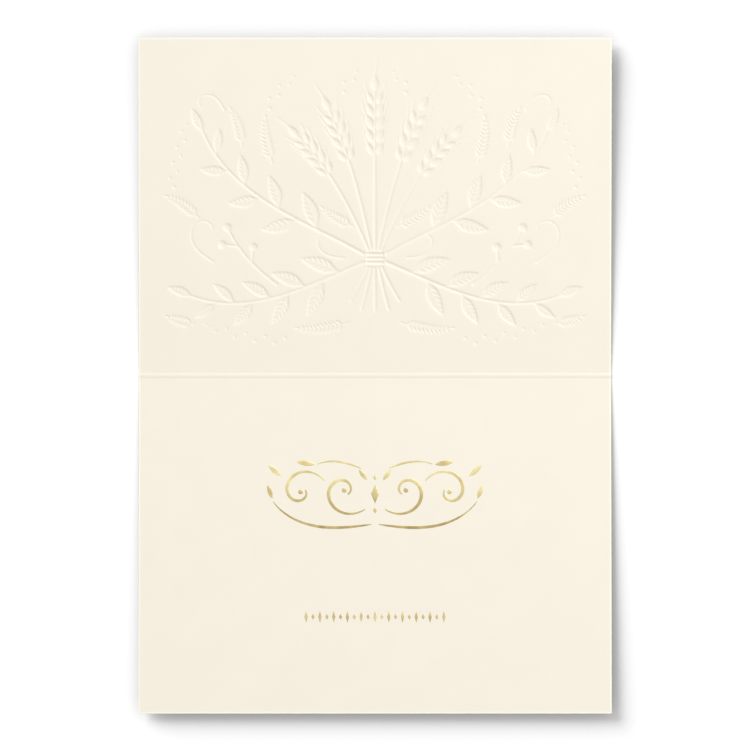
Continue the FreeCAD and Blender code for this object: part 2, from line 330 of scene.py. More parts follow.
# %% [markdown]
# ## The sprig tree
#
# A leafy branch, an ear of grain, a frond and a sprig of berries are built the same way: a
# stem, and one form set along it again and again. Forms come singly, left and right in turn,
# or in pairs, and the last one sits straight on the tip. The tree places them by the length
# along the stem, so a bent stem keeps its spacing. Its inputs are what differs from sprig
# to sprig. Nothing in it is random, so it has no seed.

# %% Inputs of the sprig tree
sprig, given, grown = geometry_tree(
    "sprig",
    [
        ("Form", OBJECT, None),
        ("Forms", INT, 5),
        ("Abreast", INT, 1),
        ("Steps", FLOAT, 4.0),
        ("First", FLOAT, 5.0),
        ("Pitch", FLOAT, 5.0),
        ("Angle", FLOAT, 0.7),
        ("Size", FLOAT, 10.0),
        ("End size", FLOAT, 10.0),
        ("Tip size", FLOAT, 10.0),
        ("Droop", FLOAT, 0.0),
        ("Aside", FLOAT, 0.0),
        ("Ahead", FLOAT, 0.0),
        ("Tip ahead", FLOAT, 0.0),
        ("Hand", FLOAT, 1.0),
        ("Stem depth", FLOAT, 0.4),
    ],
)
print("sprig tree:", len(sprig.interface.items_tree), "inputs and outputs")

# %% [markdown]
# Forms are counted from the foot of the stem. A form's number says which row it is in, which
# side of the stem it is on, and whether it is the one on the tip.

# %% Rows, sides and the tip
WITHIN = 0.1
stem_line = add(sprig, "GeometryNodeMeshToCurve", {"Mesh": given["Geometry"]})
index = add(sprig, "GeometryNodeInputIndex")
last = add(sprig, MATH, given["Forms"], 1.0, operation="SUBTRACT")
is_tip = add(sprig, MATH, index, last, WITHIN, operation="COMPARE")
not_tip = add(sprig, MATH, 1.0, is_tip, operation="SUBTRACT")
row = add(sprig, MATH, index, given["Abreast"], operation="DIVIDE")
row = add(sprig, MATH, row, operation="FLOOR")
odd = add(sprig, MATH, index, 2.0, operation="MODULO")
side = add(sprig, MATH, odd, -2.0, 1.0, operation="MULTIPLY_ADD")
side = add(sprig, MATH, side, given["Hand"], operation="MULTIPLY")
off_tip = add(sprig, MATH, side, not_tip, operation="MULTIPLY")
print("with rows and sides:", len(sprig.nodes), "nodes")

# %% [markdown]
# A row's length along the stem gives its place and the direction of the stem there. That
# direction, turned by the angle of the forms, is the way a form faces.

# %% Places along the stem
far = add(sprig, MATH, row, given["Pitch"], given["First"], operation="MULTIPLY_ADD")
whole = add(sprig, "GeometryNodeCurveLength", {"Curve": stem_line})
far = add(sprig, "ShaderNodeMix", {0: is_tip, 2: far, 3: whole}, data_type="FLOAT")
spot = {"Curves": stem_line, "Length": far}
spot = add(sprig, "GeometryNodeSampleCurve", spot, mode="LENGTH").outputs
facing = add(
    sprig,
    "FunctionNodeAlignRotationToVector",
    {"Vector": spot["Tangent"]},
    axis="X",
    pivot_axis="Z",
)
swing = add(sprig, MATH, given["Angle"], off_tip, operation="MULTIPLY")
swing = add(sprig, "FunctionNodeAxisAngleToRotation", {"Axis": (0.0, 0.0, 1.0), "Angle": swing})
aimed = add(sprig, "FunctionNodeRotateRotation", facing, swing, rotation_space="LOCAL")
print("with places:", len(sprig.nodes), "nodes")

# %% [markdown]
# A form is shifted aside, across the stem, so that a pair stands side by side, and ahead,
# along its own line, so that it starts clear of the stem.

# %% Shifts
aside = add(sprig, MATH, given["Aside"], off_tip, operation="MULTIPLY")
aside = add(sprig, "ShaderNodeCombineXYZ", {"Y": aside})
aside = add(sprig, "FunctionNodeRotateVector", aside, facing)
ahead = {0: is_tip, 2: given["Ahead"], 3: given["Tip ahead"]}
ahead = add(sprig, "ShaderNodeMix", ahead, data_type="FLOAT")
ahead = add(sprig, "ShaderNodeCombineXYZ", {"X": ahead})
ahead = add(sprig, "FunctionNodeRotateVector", ahead, aimed)
shift = add(sprig, "ShaderNodeVectorMath", aside, ahead, operation="ADD")
points = add(sprig, "GeometryNodePoints", {"Count": given["Forms"]})
points = {"Geometry": points, "Position": spot["Position"], "Offset": shift}
points = add(sprig, "GeometryNodeSetPosition", points)
print("with shifts:", len(sprig.nodes), "nodes")

# %% [markdown]
# Sizes run evenly from first to last, less a droop that leaves the forms about a third of the
# way along the largest.

# %% Sizes of the forms
LARGEST_AT = 0.35
share = add(sprig, MATH, row, given["Steps"], operation="DIVIDE")
spread = add(sprig, MATH, given["End size"], given["Size"], operation="SUBTRACT")
even = add(sprig, MATH, share, spread, given["Size"], operation="MULTIPLY_ADD")
lean = add(sprig, MATH, share, 2.0, -2.0 * LARGEST_AT, operation="MULTIPLY_ADD")
lean = add(sprig, MATH, lean, operation="ABSOLUTE")
lost = add(sprig, MATH, lean, given["Droop"], operation="MULTIPLY")
kept = add(sprig, MATH, 1.0, lost, operation="SUBTRACT")
size = add(sprig, MATH, even, kept, operation="MULTIPLY")
size = {0: is_tip, 2: size, 3: given["Tip size"]}
size = add(sprig, "ShaderNodeMix", size, data_type="FLOAT")
across = add(sprig, MATH, size, side, operation="MULTIPLY")
scale = add(sprig, "ShaderNodeCombineXYZ", size, across, 1.0)
form = add(sprig, "GeometryNodeObjectInfo", {"Object": given["Form"]}).outputs["Geometry"]
forms = {"Points": points, "Instance": form, "Rotation": aimed, "Scale": scale}
forms = add(sprig, "GeometryNodeInstanceOnPoints", forms)
print("with forms:", len(sprig.nodes), "nodes")

# %% [markdown]
# The stem is a flattened tube along the path, as wide as the path says. Stem and forms are
# joined, made real and given the card's material.

# %% Stem
STEM_SIDES = 16
upright = add(sprig, "GeometryNodeSetCurveNormal", {"Curve": stem_line}, mode="Z_UP")
section = {"Resolution": STEM_SIDES, "Radius": 1.0}
section = add(sprig, "GeometryNodeCurvePrimitiveCircle", section)
flat = add(sprig, "ShaderNodeCombineXYZ", 1.0, given["Stem depth"], 1.0)
section = add(sprig, "GeometryNodeTransform", {"Geometry": section, "Scale": flat})
width = add(sprig, "GeometryNodeInputNamedAttribute", {"Name": "width"}, data_type="FLOAT")
stem = {"Curve": upright, "Profile Curve": section, "Scale": width, "Fill Caps": True}
stem = add(sprig, "GeometryNodeCurveToMesh", stem)
joined = add(sprig, "GeometryNodeJoinGeometry", forms)
sprig.links.new(stem.outputs[0], joined.inputs[0])
real = add(sprig, "GeometryNodeRealizeInstances", joined)
made = add(sprig, "GeometryNodeSetMaterial", {"Geometry": real, "Material": card_stock})
sprig.links.new(made.outputs[0], grown)
print("whole sprig tree:", len(sprig.nodes), "nodes")

# %% [markdown]
# ## The forms of the dies
#
# A press has a die for every form. Each is drawn here once as a small surface: its plan in
# x and y, and its depth in z. Leaves and grains are one unit long, and the tree stretches
# them in plan but not in depth, so a large leaf is pressed no deeper than a small one.

# %% Surfaces


def smooth(t):
    """An even ramp from 0 to 1."""
    t = np.clip(t, 0, 1)
    return t * t * (3 - 2 * t)


def plan(along, across, reach=1.0):
    """Even steps along a form, and from side to side of it."""
    return np.meshgrid(np.linspace(0, reach, along), np.linspace(-1, 1, across), indexing="ij")


def form_object(name, surfaces):
    """An object of several surfaces, each given by its x, y and z at a grid of points."""
    verts = []
    faces = []
    for x, y, z in surfaces:
        rows, cols = z.shape
        start = sum(len(v) for v in verts)
        verts.append(np.stack([x, y, z], axis=-1).reshape(-1, 3))
        at = np.arange(rows * cols).reshape(rows, cols) + start
        quads = np.stack([at[:-1, :-1], at[1:, :-1], at[1:, 1:], at[:-1, 1:]], axis=-1)
        faces.append(quads.reshape(-1, 4))
    mesh = bpy.data.meshes.new(name)
    mesh.from_pydata(np.concatenate(verts).tolist(), [], np.concatenate(faces).tolist())
    print(name, len(mesh.polygons), "faces")
    return bpy.data.objects.new(name, mesh)


def ridge(x0, x1, half0, half1, height, bend=0.0):
    """A low rounded ridge along x, such as a stalk or an awn."""
    u, v = plan(24, 9)
    half = half0 + (half1 - half0) * u
    y = half * v + bend * u * (0.6 + 0.4 * u)
    return x0 + (x1 - x0) * u, y, height * (1 - v * v)


# %% [markdown]
# ### Leaf
#
# A leaf is a bowed blade with a short stalk. Its edge, ribs and midrib are real relief, and
# their widths are those of a leaf of the usual length.

# %% Leaf
LEAF_LENGTH = 12.5
LEAF_SLIM = 0.38
LEAF_BOW = 0.12
LEAF_DEPTH = 0.32
LEAF_EDGE = 0.55
RIBS = 7
RIB_DEPTH = 0.15
MIDRIB_DEPTH = 0.13
MIDRIB_HALF = 0.3


def leaf_surface():
    """A blade with a soft edge, ribs that lean to its tip and a sunk midrib."""
    u, v = plan(121, 41)
    half = 0.5 * LEAF_SLIM * np.sin(math.pi * u**0.8) ** 0.9
    across = np.abs(v) * half * LEAF_LENGTH
    edge = (1 - np.abs(v)) * half * LEAF_LENGTH
    rib = 0.5 - 0.5 * np.cos(2 * math.pi * RIBS * (u - np.abs(v) * half))
    depth = LEAF_DEPTH - RIB_DEPTH * rib * smooth(across / 0.6)
    midrib = MIDRIB_DEPTH * np.exp(-((across / MIDRIB_HALF) ** 2)) * np.clip(edge / 0.5, 0, 1)
    return u, LEAF_BOW * u * (1 - u) + v * half, depth * smooth(edge / LEAF_EDGE) - midrib


leaf = form_object("leaf", [leaf_surface(), ridge(-0.1, 0.06, 0.035, 0.03, 0.2)])

# %% [markdown]
# ### Grain, berry and the small forms
#
# A grain is plump and ends in an awn, a fine bristle. A berry hangs on a stalk. The leaflet
# of a frond is a slim grain without an awn, and a seed is a small round dot.

# %% Grain, berry and small forms
GRAIN_SLIM = 0.46
GRAIN_DEPTH = 0.32
BERRY_RADIUS = 1.6
BERRY_DEPTH = 0.36


def grain_surface(slim, depth):
    """A plump grain, or a slim leaflet."""
    u, v = plan(41, 17)
    half = 0.5 * slim * np.sin(math.pi * u**0.75)
    swell = np.sin(math.pi * u**0.8) ** 0.6
    return u, v * half, depth * np.sqrt(1 - v * v) * swell


def berry_surface(x, radius, depth):
    """A round berry about a place on its stalk's line."""
    r, a = np.meshgrid(np.linspace(0, 1, 13), np.linspace(0, 2 * math.pi, 33), indexing="ij")
    return x + radius * r * np.cos(a), radius * r * np.sin(a), depth * np.sqrt(1 - r * r)


awn = ridge(0.95, 1.75, 0.045, 0.025, 0.17, -0.15)
grain = form_object("grain", [grain_surface(GRAIN_SLIM, GRAIN_DEPTH), awn])
berry_stalk = ridge(0.0, 4.6, 0.45, 0.4, 0.24)
berry = form_object("berry", [berry_surface(5.9, BERRY_RADIUS, BERRY_DEPTH), berry_stalk])
leaflet = form_object("leaflet", [grain_surface(0.3, 0.24)])
seed = form_object("seed", [berry_surface(0.0, 1.0, 0.2)])

# %% [markdown]
# ## Setting the dies
#
# The sheaf, the branches and the sprigs are laid out over the cover panel, each with its
# mirror image. The same tree makes them all from a path and a few numbers. Fine fronds,
# tendrils and scattered seeds fill the gaps, as an engraver would. A stem's die is wider than
# the stem by CRESTS on each side, because the stock rounds it off.

# %% Dies
CRESTS = 0.16
die_verts = []
die_faces = []


def keep_die(mesh):
    """Adds a mesh to the one set of dies, as triangles."""
    mesh.calc_loop_triangles()
    co = np.empty(len(mesh.vertices) * 3, np.float32)
    mesh.vertices.foreach_get("co", co)
    tri = np.empty(len(mesh.loop_triangles) * 3, np.int32)
    mesh.loop_triangles.foreach_get("vertices", tri)
    die_faces.append(tri.reshape(-1, 3) + sum(len(v) for v in die_verts))
    die_verts.append(co.reshape(-1, 3))
    bpy.data.meshes.remove(mesh)


def set_dies(path, width, end_width, values, both=True):
    """Grows a sprig on a path, and on its mirror image if there are both halves."""
    widths = np.linspace(width, end_width, len(path)) / 2 + CRESTS
    for hand in (1.0, -1.0) if both else (1.0,):
        line = path if hand > 0 else flip(path)
        found = {"Form": leaf, "Forms": 0, "Hand": hand, **values}
        keep_die(grown_mesh(path_object("stem", [(line, widths)]), sprig, found))


# %% [markdown]
# ### The sheaf
#
# Five ears stand in a fan over the tie, and the straws spread below it.

# %% Ears and straws
EARS = [
    (0.0, 3.0, 90.0, 35.2, 0.0, 0.0, 24.0, 5, 6.6),
    (1.2, 3.0, 78.0, 34.2, -0.06, -0.30, 20.0, 4, 6.4),
    (2.2, 2.6, 67.0, 32.2, -0.14, -0.55, 18.0, 4, 6.2),
]
STRAWS = [
    (0.0, -3.0, 270.0, 17.0, 0.0),
    (1.3, -3.0, 281.0, 17.0, 0.3),
    (2.4, -2.8, 293.0, 15.0, 0.6),
]
STALK_GAP = 0.8
BAND_LENGTH = 6.8
BAND_PITCH = 1.6

for x, up, heading, stalk, bend_in, bend_out, ear, pairs, size in EARS:
    path = sweep(x, TIE + up, heading, stalk + STALK_GAP, bend_in, bend_out)
    spine = sweep(*path[-1], end_heading(path), ear, bend_out, bend_out)
    values = {"Form": grain, "Forms": 2 * pairs + 1, "Abreast": 2, "Steps": float(pairs)}
    values |= {"First": stalk + STALK_GAP, "Pitch": ear / pairs, "Angle": math.radians(26)}
    values |= {"Size": size, "End size": size, "Tip size": size, "Droop": 0.28, "Aside": 0.75}
    set_dies(np.concatenate([path, spine[1:]]), 0.8, 0.5, values, both=x > 0)

for x, up, heading, run, bend in STRAWS:
    set_dies(sweep(x, TIE + up, heading, run, bend, bend), 0.8, 0.7, {}, both=x > 0)
for k in (-1, 0, 1):
    band = sweep(-BAND_LENGTH / 2, TIE + k * BAND_PITCH, 0.0, BAND_LENGTH, 0.0, 0.0)
    set_dies(band, 0.9, 0.9, {"Stem depth": 0.55}, both=False)
print("ears and straws:", sum(len(f) for f in die_faces), "triangles")

# %% [markdown]
# ### Branches and berries
#
# Two leafy branches leave the tie on each side, with a sprig of berries between them.

# %% Branches and berries
BRANCHES = [
    (3.9, -1.3, -22.0, 67.6, -0.30, 1.55, 10.0, 6.9, 8, 15.2),
    (3.9, 1.5, 30.0, 77.5, -0.40, 1.35, 20.0, 8.0, 7, 14.8),
]
SPRIG_LENGTH = 27.0

for x, up, heading, run, bend_in, bend_out, first, pitch, leaves, size in BRANCHES:
    path = sweep(x, TIE + up, heading, run, bend_in, bend_out)
    values = {"Form": leaf, "Forms": leaves + 1, "Steps": leaves - 1.0, "First": first}
    values |= {"Pitch": pitch, "Angle": math.radians(42), "Size": size, "End size": 9.4}
    values |= {"Tip size": 9.8, "Ahead": 1.1, "Tip ahead": 0.8}
    set_dies(path, 1.0, 0.6, values)

path = sweep(36.6, TIE - 10.0, 36.0, SPRIG_LENGTH, 0.6, 1.4)
values = {"Form": berry, "Forms": 3, "Steps": 2.0, "First": 0.48 * SPRIG_LENGTH}
values |= {"Pitch": 0.30 * SPRIG_LENGTH, "Angle": math.radians(50), "Tip ahead": -3.8}
values |= {"Size": 1.0, "End size": 1.0, "Tip size": 1.0}
set_dies(path, 0.7, 0.6, values)
print("with branches:", sum(len(f) for f in die_faces), "triangles")

# %% [markdown]
# ### Fronds, tendrils and seeds
#
# These are shallower and finer than the main forms, and give the ornament its lively edge.

# %% Fillings
FRONDS = [
    (38.5, 35.5, 72.0, 17.0, 0.4, 2.2, 9),
    (50.0, 42.0, 84.0, 14.0, -0.8, -2.6, 8),
    (8.0, 12.0, 24.0, 13.0, 0.2, 2.4, 7),
    (66.0, 15.0, 44.0, 14.0, -0.6, -2.6, 8),
    (9.5, -24.0, -16.0, 19.0, 0.3, 2.2, 10),
    (68.0, -24.5, 8.0, 9.5, 0.6, 2.6, 6),
]
TENDRILS = [
    (60.5, -1.5, 34.0, 27.0, -1.0, 18.0),
    (11.5, 0.2, 6.0, 17.0, -1.5, 20.0),
    (56.5, 55.5, 62.0, 16.0, 1.0, -26.0),
]
SEEDS = [
    (76.5, 27.0, 100.0, 24.0, 0.2, 0.6, 9),
    (40.5, 57.0, 122.0, 15.0, 1.2, 1.2, 6),
    (34.0, -31.0, 4.0, 30.0, 0.3, 0.9, 9),
    (12.4, 63.0, 124.0, 9.0, 0.8, 0.8, 4),
]

for x, up, heading, run, bend_in, bend_out, pairs in FRONDS:
    values = {"Form": leaflet, "Forms": 2 * pairs + 1, "Abreast": 2, "Steps": float(pairs)}
    values |= {"First": 0.16 * run, "Pitch": 0.84 * run / pairs, "Angle": math.radians(40)}
    values |= {"Size": 4.0, "End size": 2.0, "Tip size": 2.4, "Aside": 0.15, "Droop": 0.2}
    set_dies(sweep(x, TIE + up, heading, run, bend_in, bend_out), 0.4, 0.2, values)
for x, up, heading, run, bend_in, bend_out in TENDRILS:
    set_dies(sweep(x, TIE + up, heading, run, bend_in, bend_out), 0.55, 0.3, {})
for x, up, heading, run, bend_in, bend_out, count in SEEDS:
    values = {"Form": seed, "Forms": count, "Steps": count - 1.0, "First": 0.0}
    values |= {"Pitch": run / (count - 1), "Size": 0.62, "End size": 0.4, "Tip size": 0.4}
    values |= {"Aside": 1.1, "Stem depth": 0.0}
    set_dies(sweep(x, TIE + up, heading, run, bend_in, bend_out), 0.1, 0.1, values)
dies = BVHTree.FromPolygons(
    np.concatenate(die_verts).tolist(), np.concatenate(die_faces).tolist()
)
print("all dies:", sum(len(f) for f in die_faces), "triangles")

# %% [markdown]
# ## Pressing the sheet
#
# A ray is dropped on the dies from every point of a fine grid, and where it meets one the
# sheet is pushed out by that depth. Card stock can't follow a sharp edge, so the depths are
# then softened: a little on the inside, more on the outside, where the whole thickness of
# the sheet lies between the die and the face.

# %% Press
MARGIN = 0.9
BEAD_STRIP = 1.1
FINE = 16
COLS = 48
ROWS = 34
RAY_START = 9.0
RAY_REACH = 10.0
grid_x = np.linspace(MARGIN - WIDTH / 2, WIDTH / 2 - MARGIN, COLS * FINE + 1)
grid_s = np.linspace(BEAD_STRIP, DEPTH - MARGIN, ROWS * FINE + 1)
pressed = np.zeros((len(grid_s), len(grid_x)))
down = Vector((0, 0, -1))
for j, s in enumerate(grid_s.tolist()):
    for i, x in enumerate(grid_x.tolist()):
        hit = dies.ray_cast(Vector((x, s, RAY_START)), down, RAY_REACH)[0]
        if hit is not None:
            pressed[j, i] = max(hit.z, 0.0)
print("grid of", len(grid_x), "by", len(grid_s), "points")

# %% Softening
SOFT_INSIDE = 0.16
SOFT_OUTSIDE = 0.34
SHOWS = 0.02


def soften(field, width):
    """A field blurred by a bell curve of that width in millimetres."""
    sigma = width / (grid_x[1] - grid_x[0])
    reach = int(3 * sigma) + 1
    bell = np.exp(-0.5 * (np.arange(-reach, reach + 1) / sigma) ** 2)
    bell = bell / bell.sum()
    for axis in (0, 1):
        field = sum(w * np.roll(field, k - reach, axis=axis) for k, w in enumerate(bell))
    return field


hollow = soften(pressed, SOFT_INSIDE)
raised = soften(pressed, SOFT_OUTSIDE)
covered = round((pressed > SHOWS).mean() * 100, 1)
print("pressed", covered, "percent, to", round(hollow.max(), 3))

# %% [markdown]
# ## A mesh that is fine only where it is needed
#
# Most of the sheet is flat. Cells of the grid start coarse and are split in four, again and
# again, wherever the relief still bends inside them. A cell next to a finer one is closed
# with a fan of triangles, so no gap opens between them.

# %% Where to split


def widened(flags):
    """Flags spread to the neighbours on all sides."""
    out = flags.copy()
    out[1:] |= flags[:-1]
    out[:-1] |= flags[1:]
    wide = out.copy()
    wide[:, 1:] |= out[:, :-1]
    wide[:, :-1] |= out[:, 1:]
    return wide


def splits_of(field, finest, limit):
    """For each size of cell, from coarse to fine, which cells are split."""
    part = field[::finest, ::finest]
    bend = np.zeros(part.shape)
    bend[1:-1] += np.abs(part[2:] - 2 * part[1:-1] + part[:-2])
    bend[:, 1:-1] += np.abs(part[:, 2:] - 2 * part[:, 1:-1] + part[:, :-2])
    flag = bend > limit
    need = flag[1:, 1:] | flag[:-1, :-1] | flag[1:, :-1] | flag[:-1, 1:]
    splits = []
    span = finest
    while span < FINE:
        rows, cols = need.shape
        need = need.reshape(rows // 2, 2, cols // 2, 2).any(axis=(1, 3))
        span *= 2
        splits.insert(0, (span, need))
        need = widened(need)
    return splits


# %% Tiles over the grid
FINEST_INSIDE = 1
FINEST_OUTSIDE = 2
BEND_INSIDE = 0.024
BEND_OUTSIDE = 0.09


def tiles(field, finest, limit):
    """Faces over the grid, as numbers of grid points. Cells get no smaller than finest."""
    faces = []
    row = len(grid_x)
    there = np.ones((ROWS, COLS), bool)
    for span, split in [*splits_of(field, finest, limit), (finest, None)]:
        if split is None:
            split = np.zeros(there.shape, bool)
        near = np.pad(split, 1)
        for r, c in np.argwhere(there & ~split).tolist():
            at = (r * row + c) * span
            half = span // 2
            up = span * row
            corners = [at, at + span, at + up + span, at + up]
            middles = [at + half, at + half * row + span, at + up + half, at + half * row]
            finer = [near[r, c + 1], near[r + 1, c + 2], near[r + 2, c + 1], near[r + 1, c]]
            if not any(finer):
                faces.append(corners)
                continue
            ring = []
            for k in range(4):
                ring += [corners[k], middles[k]] if finer[k] else [corners[k]]
            hub = at + half * row + half
            faces += [[hub, a, b] for a, b in zip(ring, ring[1:] + ring[:1])]
        there = np.repeat(np.repeat(split, 2, axis=0), 2, axis=1)
    return faces


inside_tiles = tiles(hollow, FINEST_INSIDE, BEND_INSIDE)
outside_tiles = tiles(raised, FINEST_OUTSIDE, BEND_OUTSIDE)
print("tiles inside and outside", len(inside_tiles), len(outside_tiles))

# %% [markdown]
# ## The crease
#
# A creasing rule pressed from outside leaves a bead on the inside and a groove on the
# outside, both eased at their roots.

# %% Crease
EASE = 0.01


def eased(height):
    """A height that never falls below zero and meets it without a corner."""
    return 0.5 * (height + np.sqrt(height * height + EASE**2))


def inside_height(s):
    """The bead over the crease, as a height above the inside faces."""
    s = np.asarray(s, float)
    bead = BEAD_HEIGHT * (1 - (s / HALF_BEAD) ** 2)
    return np.where(np.abs(s) < BEAD_STRIP, eased(bead), 0.0)


def outside_height(s):
    """The groove under the crease, in the outside face."""
    s = np.asarray(s, float)
    groove = BEAD_HEIGHT * (1 - (s / HALF_GROOVE) ** 2)
    return np.where(np.abs(s) < BEAD_STRIP, eased(groove), 0.0) - STOCK


print("bead", round(float(inside_height(0)), 3), "groove", round(float(outside_height(0)), 3))

# %% [markdown]
# ## Building the sheet
#
# The sheet is one closed skin: the tiles of the cover, an even grid over the crease and the
# back panel, the same again underneath, and a cut edge all round. Points in the relief are
# loose, which means that they may be merged later. On the flat, every fourth point of the
# grid stays, so that no long thin triangle spoils the shading there.

# %% Skin


class Skin:
    """Points and faces gathered for one mesh, with each point's share of the painted highlight
    along the cut edge.
    """

    def __init__(self):
        self.points = []
        self.rim = []
        self.loose = []
        self.faces = []
        self.count = 0

    def add(self, points, rim=0.0, loose=False):
        """Adds points and returns their numbers. Loose points may later be merged."""
        flat = points.reshape(-1, 3)
        numbers = np.arange(self.count, self.count + len(flat))
        self.points.append(flat)
        self.rim.append(np.full(len(flat), rim))
        self.loose.append(np.broadcast_to(loose, len(flat)))
        self.count += len(flat)
        return numbers.reshape(points.shape[:-1])

    def quads(self, grid, turned):
        """Faces over a grid of point numbers."""
        cells = [grid[:-1, :-1], grid[:-1, 1:], grid[1:, 1:], grid[1:, :-1]]
        cells = np.stack(cells, axis=-1).reshape(-1, 4)
        self.faces += (cells[:, ::-1] if turned else cells).tolist()


# %% Two faces
FLAT = 0.003
STAYS = 4
BEAD_ROWS = 23
BACK_ROWS = np.concatenate(
    [-grid_s[::FINE][::-1], np.linspace(-BEAD_STRIP, BEAD_STRIP, BEAD_ROWS)[1:-1]]
)


def card_face(skin, faces, depth, height, turned):
    """One face of the card: tiles on the cover, a grid on the rest. Returns its coarse grid."""
    row = len(grid_x)
    used = np.unique(np.concatenate([np.array(face) for face in faces]))
    j, i = np.divmod(used, row)
    number = np.full(len(grid_s) * row, -1)
    loose = (depth[j, i] > FLAT) | (i % STAYS > 0) | (j % STAYS > 0)
    points = lay(grid_x[i], grid_s[j], height(grid_s[j]) - depth[j, i])
    number[used] = skin.add(points, loose=loose)
    cells = [number[face].tolist() for face in faces]
    skin.faces += [cell[::-1] for cell in cells] if turned else cells
    number = number.reshape(len(grid_s), row)[::FINE, ::FINE]
    rest = skin.add(lay(*np.meshgrid(grid_x[::FINE], BACK_ROWS), height(BACK_ROWS)[:, None]))
    skin.quads(np.concatenate([rest, number[:1]]), turned)
    return np.concatenate([rest, number])


skin = Skin()
inside = card_face(skin, inside_tiles, hollow, inside_height, False)
outside = card_face(skin, outside_tiles, raised, outside_height, True)
print("two faces:", len(skin.faces), "faces")

# %% [markdown]
# The edge is a few rings of points outside the two faces. Each ring says how far out it
# lies, how deep in the thickness, and how much of the painted highlight along the cut edge
# it shows.

# %% Cut edge
RINGS = [
    (0.12, 0.0, 0.0),
    (0.36, 0.0, 1.0),
    (0.86, 0.03, 1.0),
    (MARGIN, 0.2, 1.0),
    (MARGIN, 0.85, 1.0),
    (0.87, 1.0, 1.0),
    (0.30, 1.0, 0.0),
]


def border(grid):
    """The values round the edge of a grid, anticlockwise from its first corner."""
    return np.concatenate([grid[0, :-1], grid[:-1, -1], grid[-1, :0:-1], grid[:0:-1, 0]])


edge_x, edge_s = np.meshgrid(grid_x[::FINE], np.concatenate([BACK_ROWS, grid_s[::FINE]]))
out_x = np.zeros(edge_x.shape)
out_x[:, 0], out_x[:, -1] = -1, 1
out_s = np.zeros(edge_s.shape)
out_s[0], out_s[-1] = -1, 1
edge_x, edge_s, out_x, out_s = (border(grid) for grid in (edge_x, edge_s, out_x, out_s))
rings = [border(inside)]
for out, share, rim in RINGS:
    h = inside_height(edge_s) * (1 - share) + outside_height(edge_s) * share
    rings.append(skin.add(lay(edge_x + out_x * out, edge_s + out_s * out, h), rim))
rings = np.stack([*rings, border(outside)])
skin.quads(np.concatenate([rings, rings[:, :1]], axis=1), True)
print("cut edge:", len(RINGS), "rings of", rings.shape[1], "points")

# %% [markdown]
# ### Thinning the sheet
#
# The relief has more points than it needs where it is nearly even. Decimate merges the loose
# ones until KEPT, a share of all triangles, is left. The flat parts, the crease and the cut
# edge stay, so the painted highlight along the cut edge keeps its sharp line. The result is
# read back as a plain mesh.

# %% Full sheet
full = bpy.data.meshes.new("full_sheet")
full.from_pydata(np.concatenate(skin.points).tolist(), [], skin.faces)
rim = full.attributes.new("rim", "FLOAT", "POINT")
rim.data.foreach_set("value", np.concatenate(skin.rim).astype(np.float32))
card = bpy.data.objects.new("card_sheet", full)
bpy.context.scene.collection.objects.link(card)
print("full sheet:", len(full.vertices), "points")

# %% Thinned sheet
KEPT = 0.5
SHARP = math.radians(40)
loose = np.flatnonzero(np.concatenate(skin.loose))
card.vertex_groups.new(name="loose").add(loose.tolist(), 1.0, "REPLACE")
thin = card.modifiers.new("thin", "DECIMATE")
thin.ratio = KEPT
thin.vertex_group = "loose"
bpy.context.view_layer.update()
graph = bpy.context.evaluated_depsgraph_get()
sheet = bpy.data.meshes.new_from_object(card.evaluated_get(graph))
card.modifiers.clear()
card.vertex_groups.clear()
card.data = sheet
sheet.name = "card_sheet"
bpy.data.meshes.remove(full)
sheet.shade_smooth()
sheet.set_sharp_from_angle(angle=SHARP)
sheet.materials.clear()
sheet.materials.append(card_stock)
print(sheet.name, "is made of", sheet.materials[0].name)

# %% [markdown]
# A closed sheet has exactly two faces at every edge, so an edge with another count is a hole
# or a stray face.

# %% Is the sheet closed?
sheet.calc_loop_triangles()
sides = np.array([sorted(key) for face in sheet.polygons for key in face.edge_keys])
counts = np.unique(sides, axis=0, return_counts=True)[1]
print("sheet:", len(sheet.loop_triangles), "triangles, open edges:", int((counts != 2).sum()))

# %% [markdown]
# ## Strokes of foil
#
# Hot foil is stamped in strokes that swell and taper. One tree turns paths and their widths
# into flat strokes with a soft edge. Leaves, dots and lozenges are strokes too: only the
# way their width runs is different.

# %% Stroke tree
stroke, given, inked = geometry_tree("foil_stroke", [("Film", FLOAT, 0.06)])
line = add(stroke, "GeometryNodeMeshToCurve", {"Mesh": given["Geometry"]})
upright = add(stroke, "GeometryNodeSetCurveNormal", {"Curve": line}, mode="Z_UP")
section = add(stroke, "GeometryNodeCurvePrimitiveCircle", {"Resolution": 12, "Radius": 1.0})
flat = add(stroke, "ShaderNodeCombineXYZ", 1.0, given["Film"], 1.0)
section = add(stroke, "GeometryNodeTransform", {"Geometry": section, "Scale": flat})
width = add(stroke, "GeometryNodeInputNamedAttribute", {"Name": "width"}, data_type="FLOAT")
ribbon = {"Curve": upright, "Profile Curve": section, "Scale": width, "Fill Caps": True}
ribbon = add(stroke, "GeometryNodeCurveToMesh", ribbon)
real = add(stroke, "GeometryNodeRealizeInstances", ribbon)
gilded = add(stroke, "GeometryNodeSetMaterial", {"Geometry": real, "Material": gold_foil})
stroke.links.new(gilded.outputs[0], inked)
print("stroke tree:", len(stroke.nodes), "nodes")

# %% [markdown]
# A stroke is drawn flat and then laid on the back panel. The lower half of its round
# section is pressed flat, just clear of the paper, so film and paper share no face.

# %% Stamping
FILM_BASE = 0.004
FOIL_SHARP = math.radians(50)


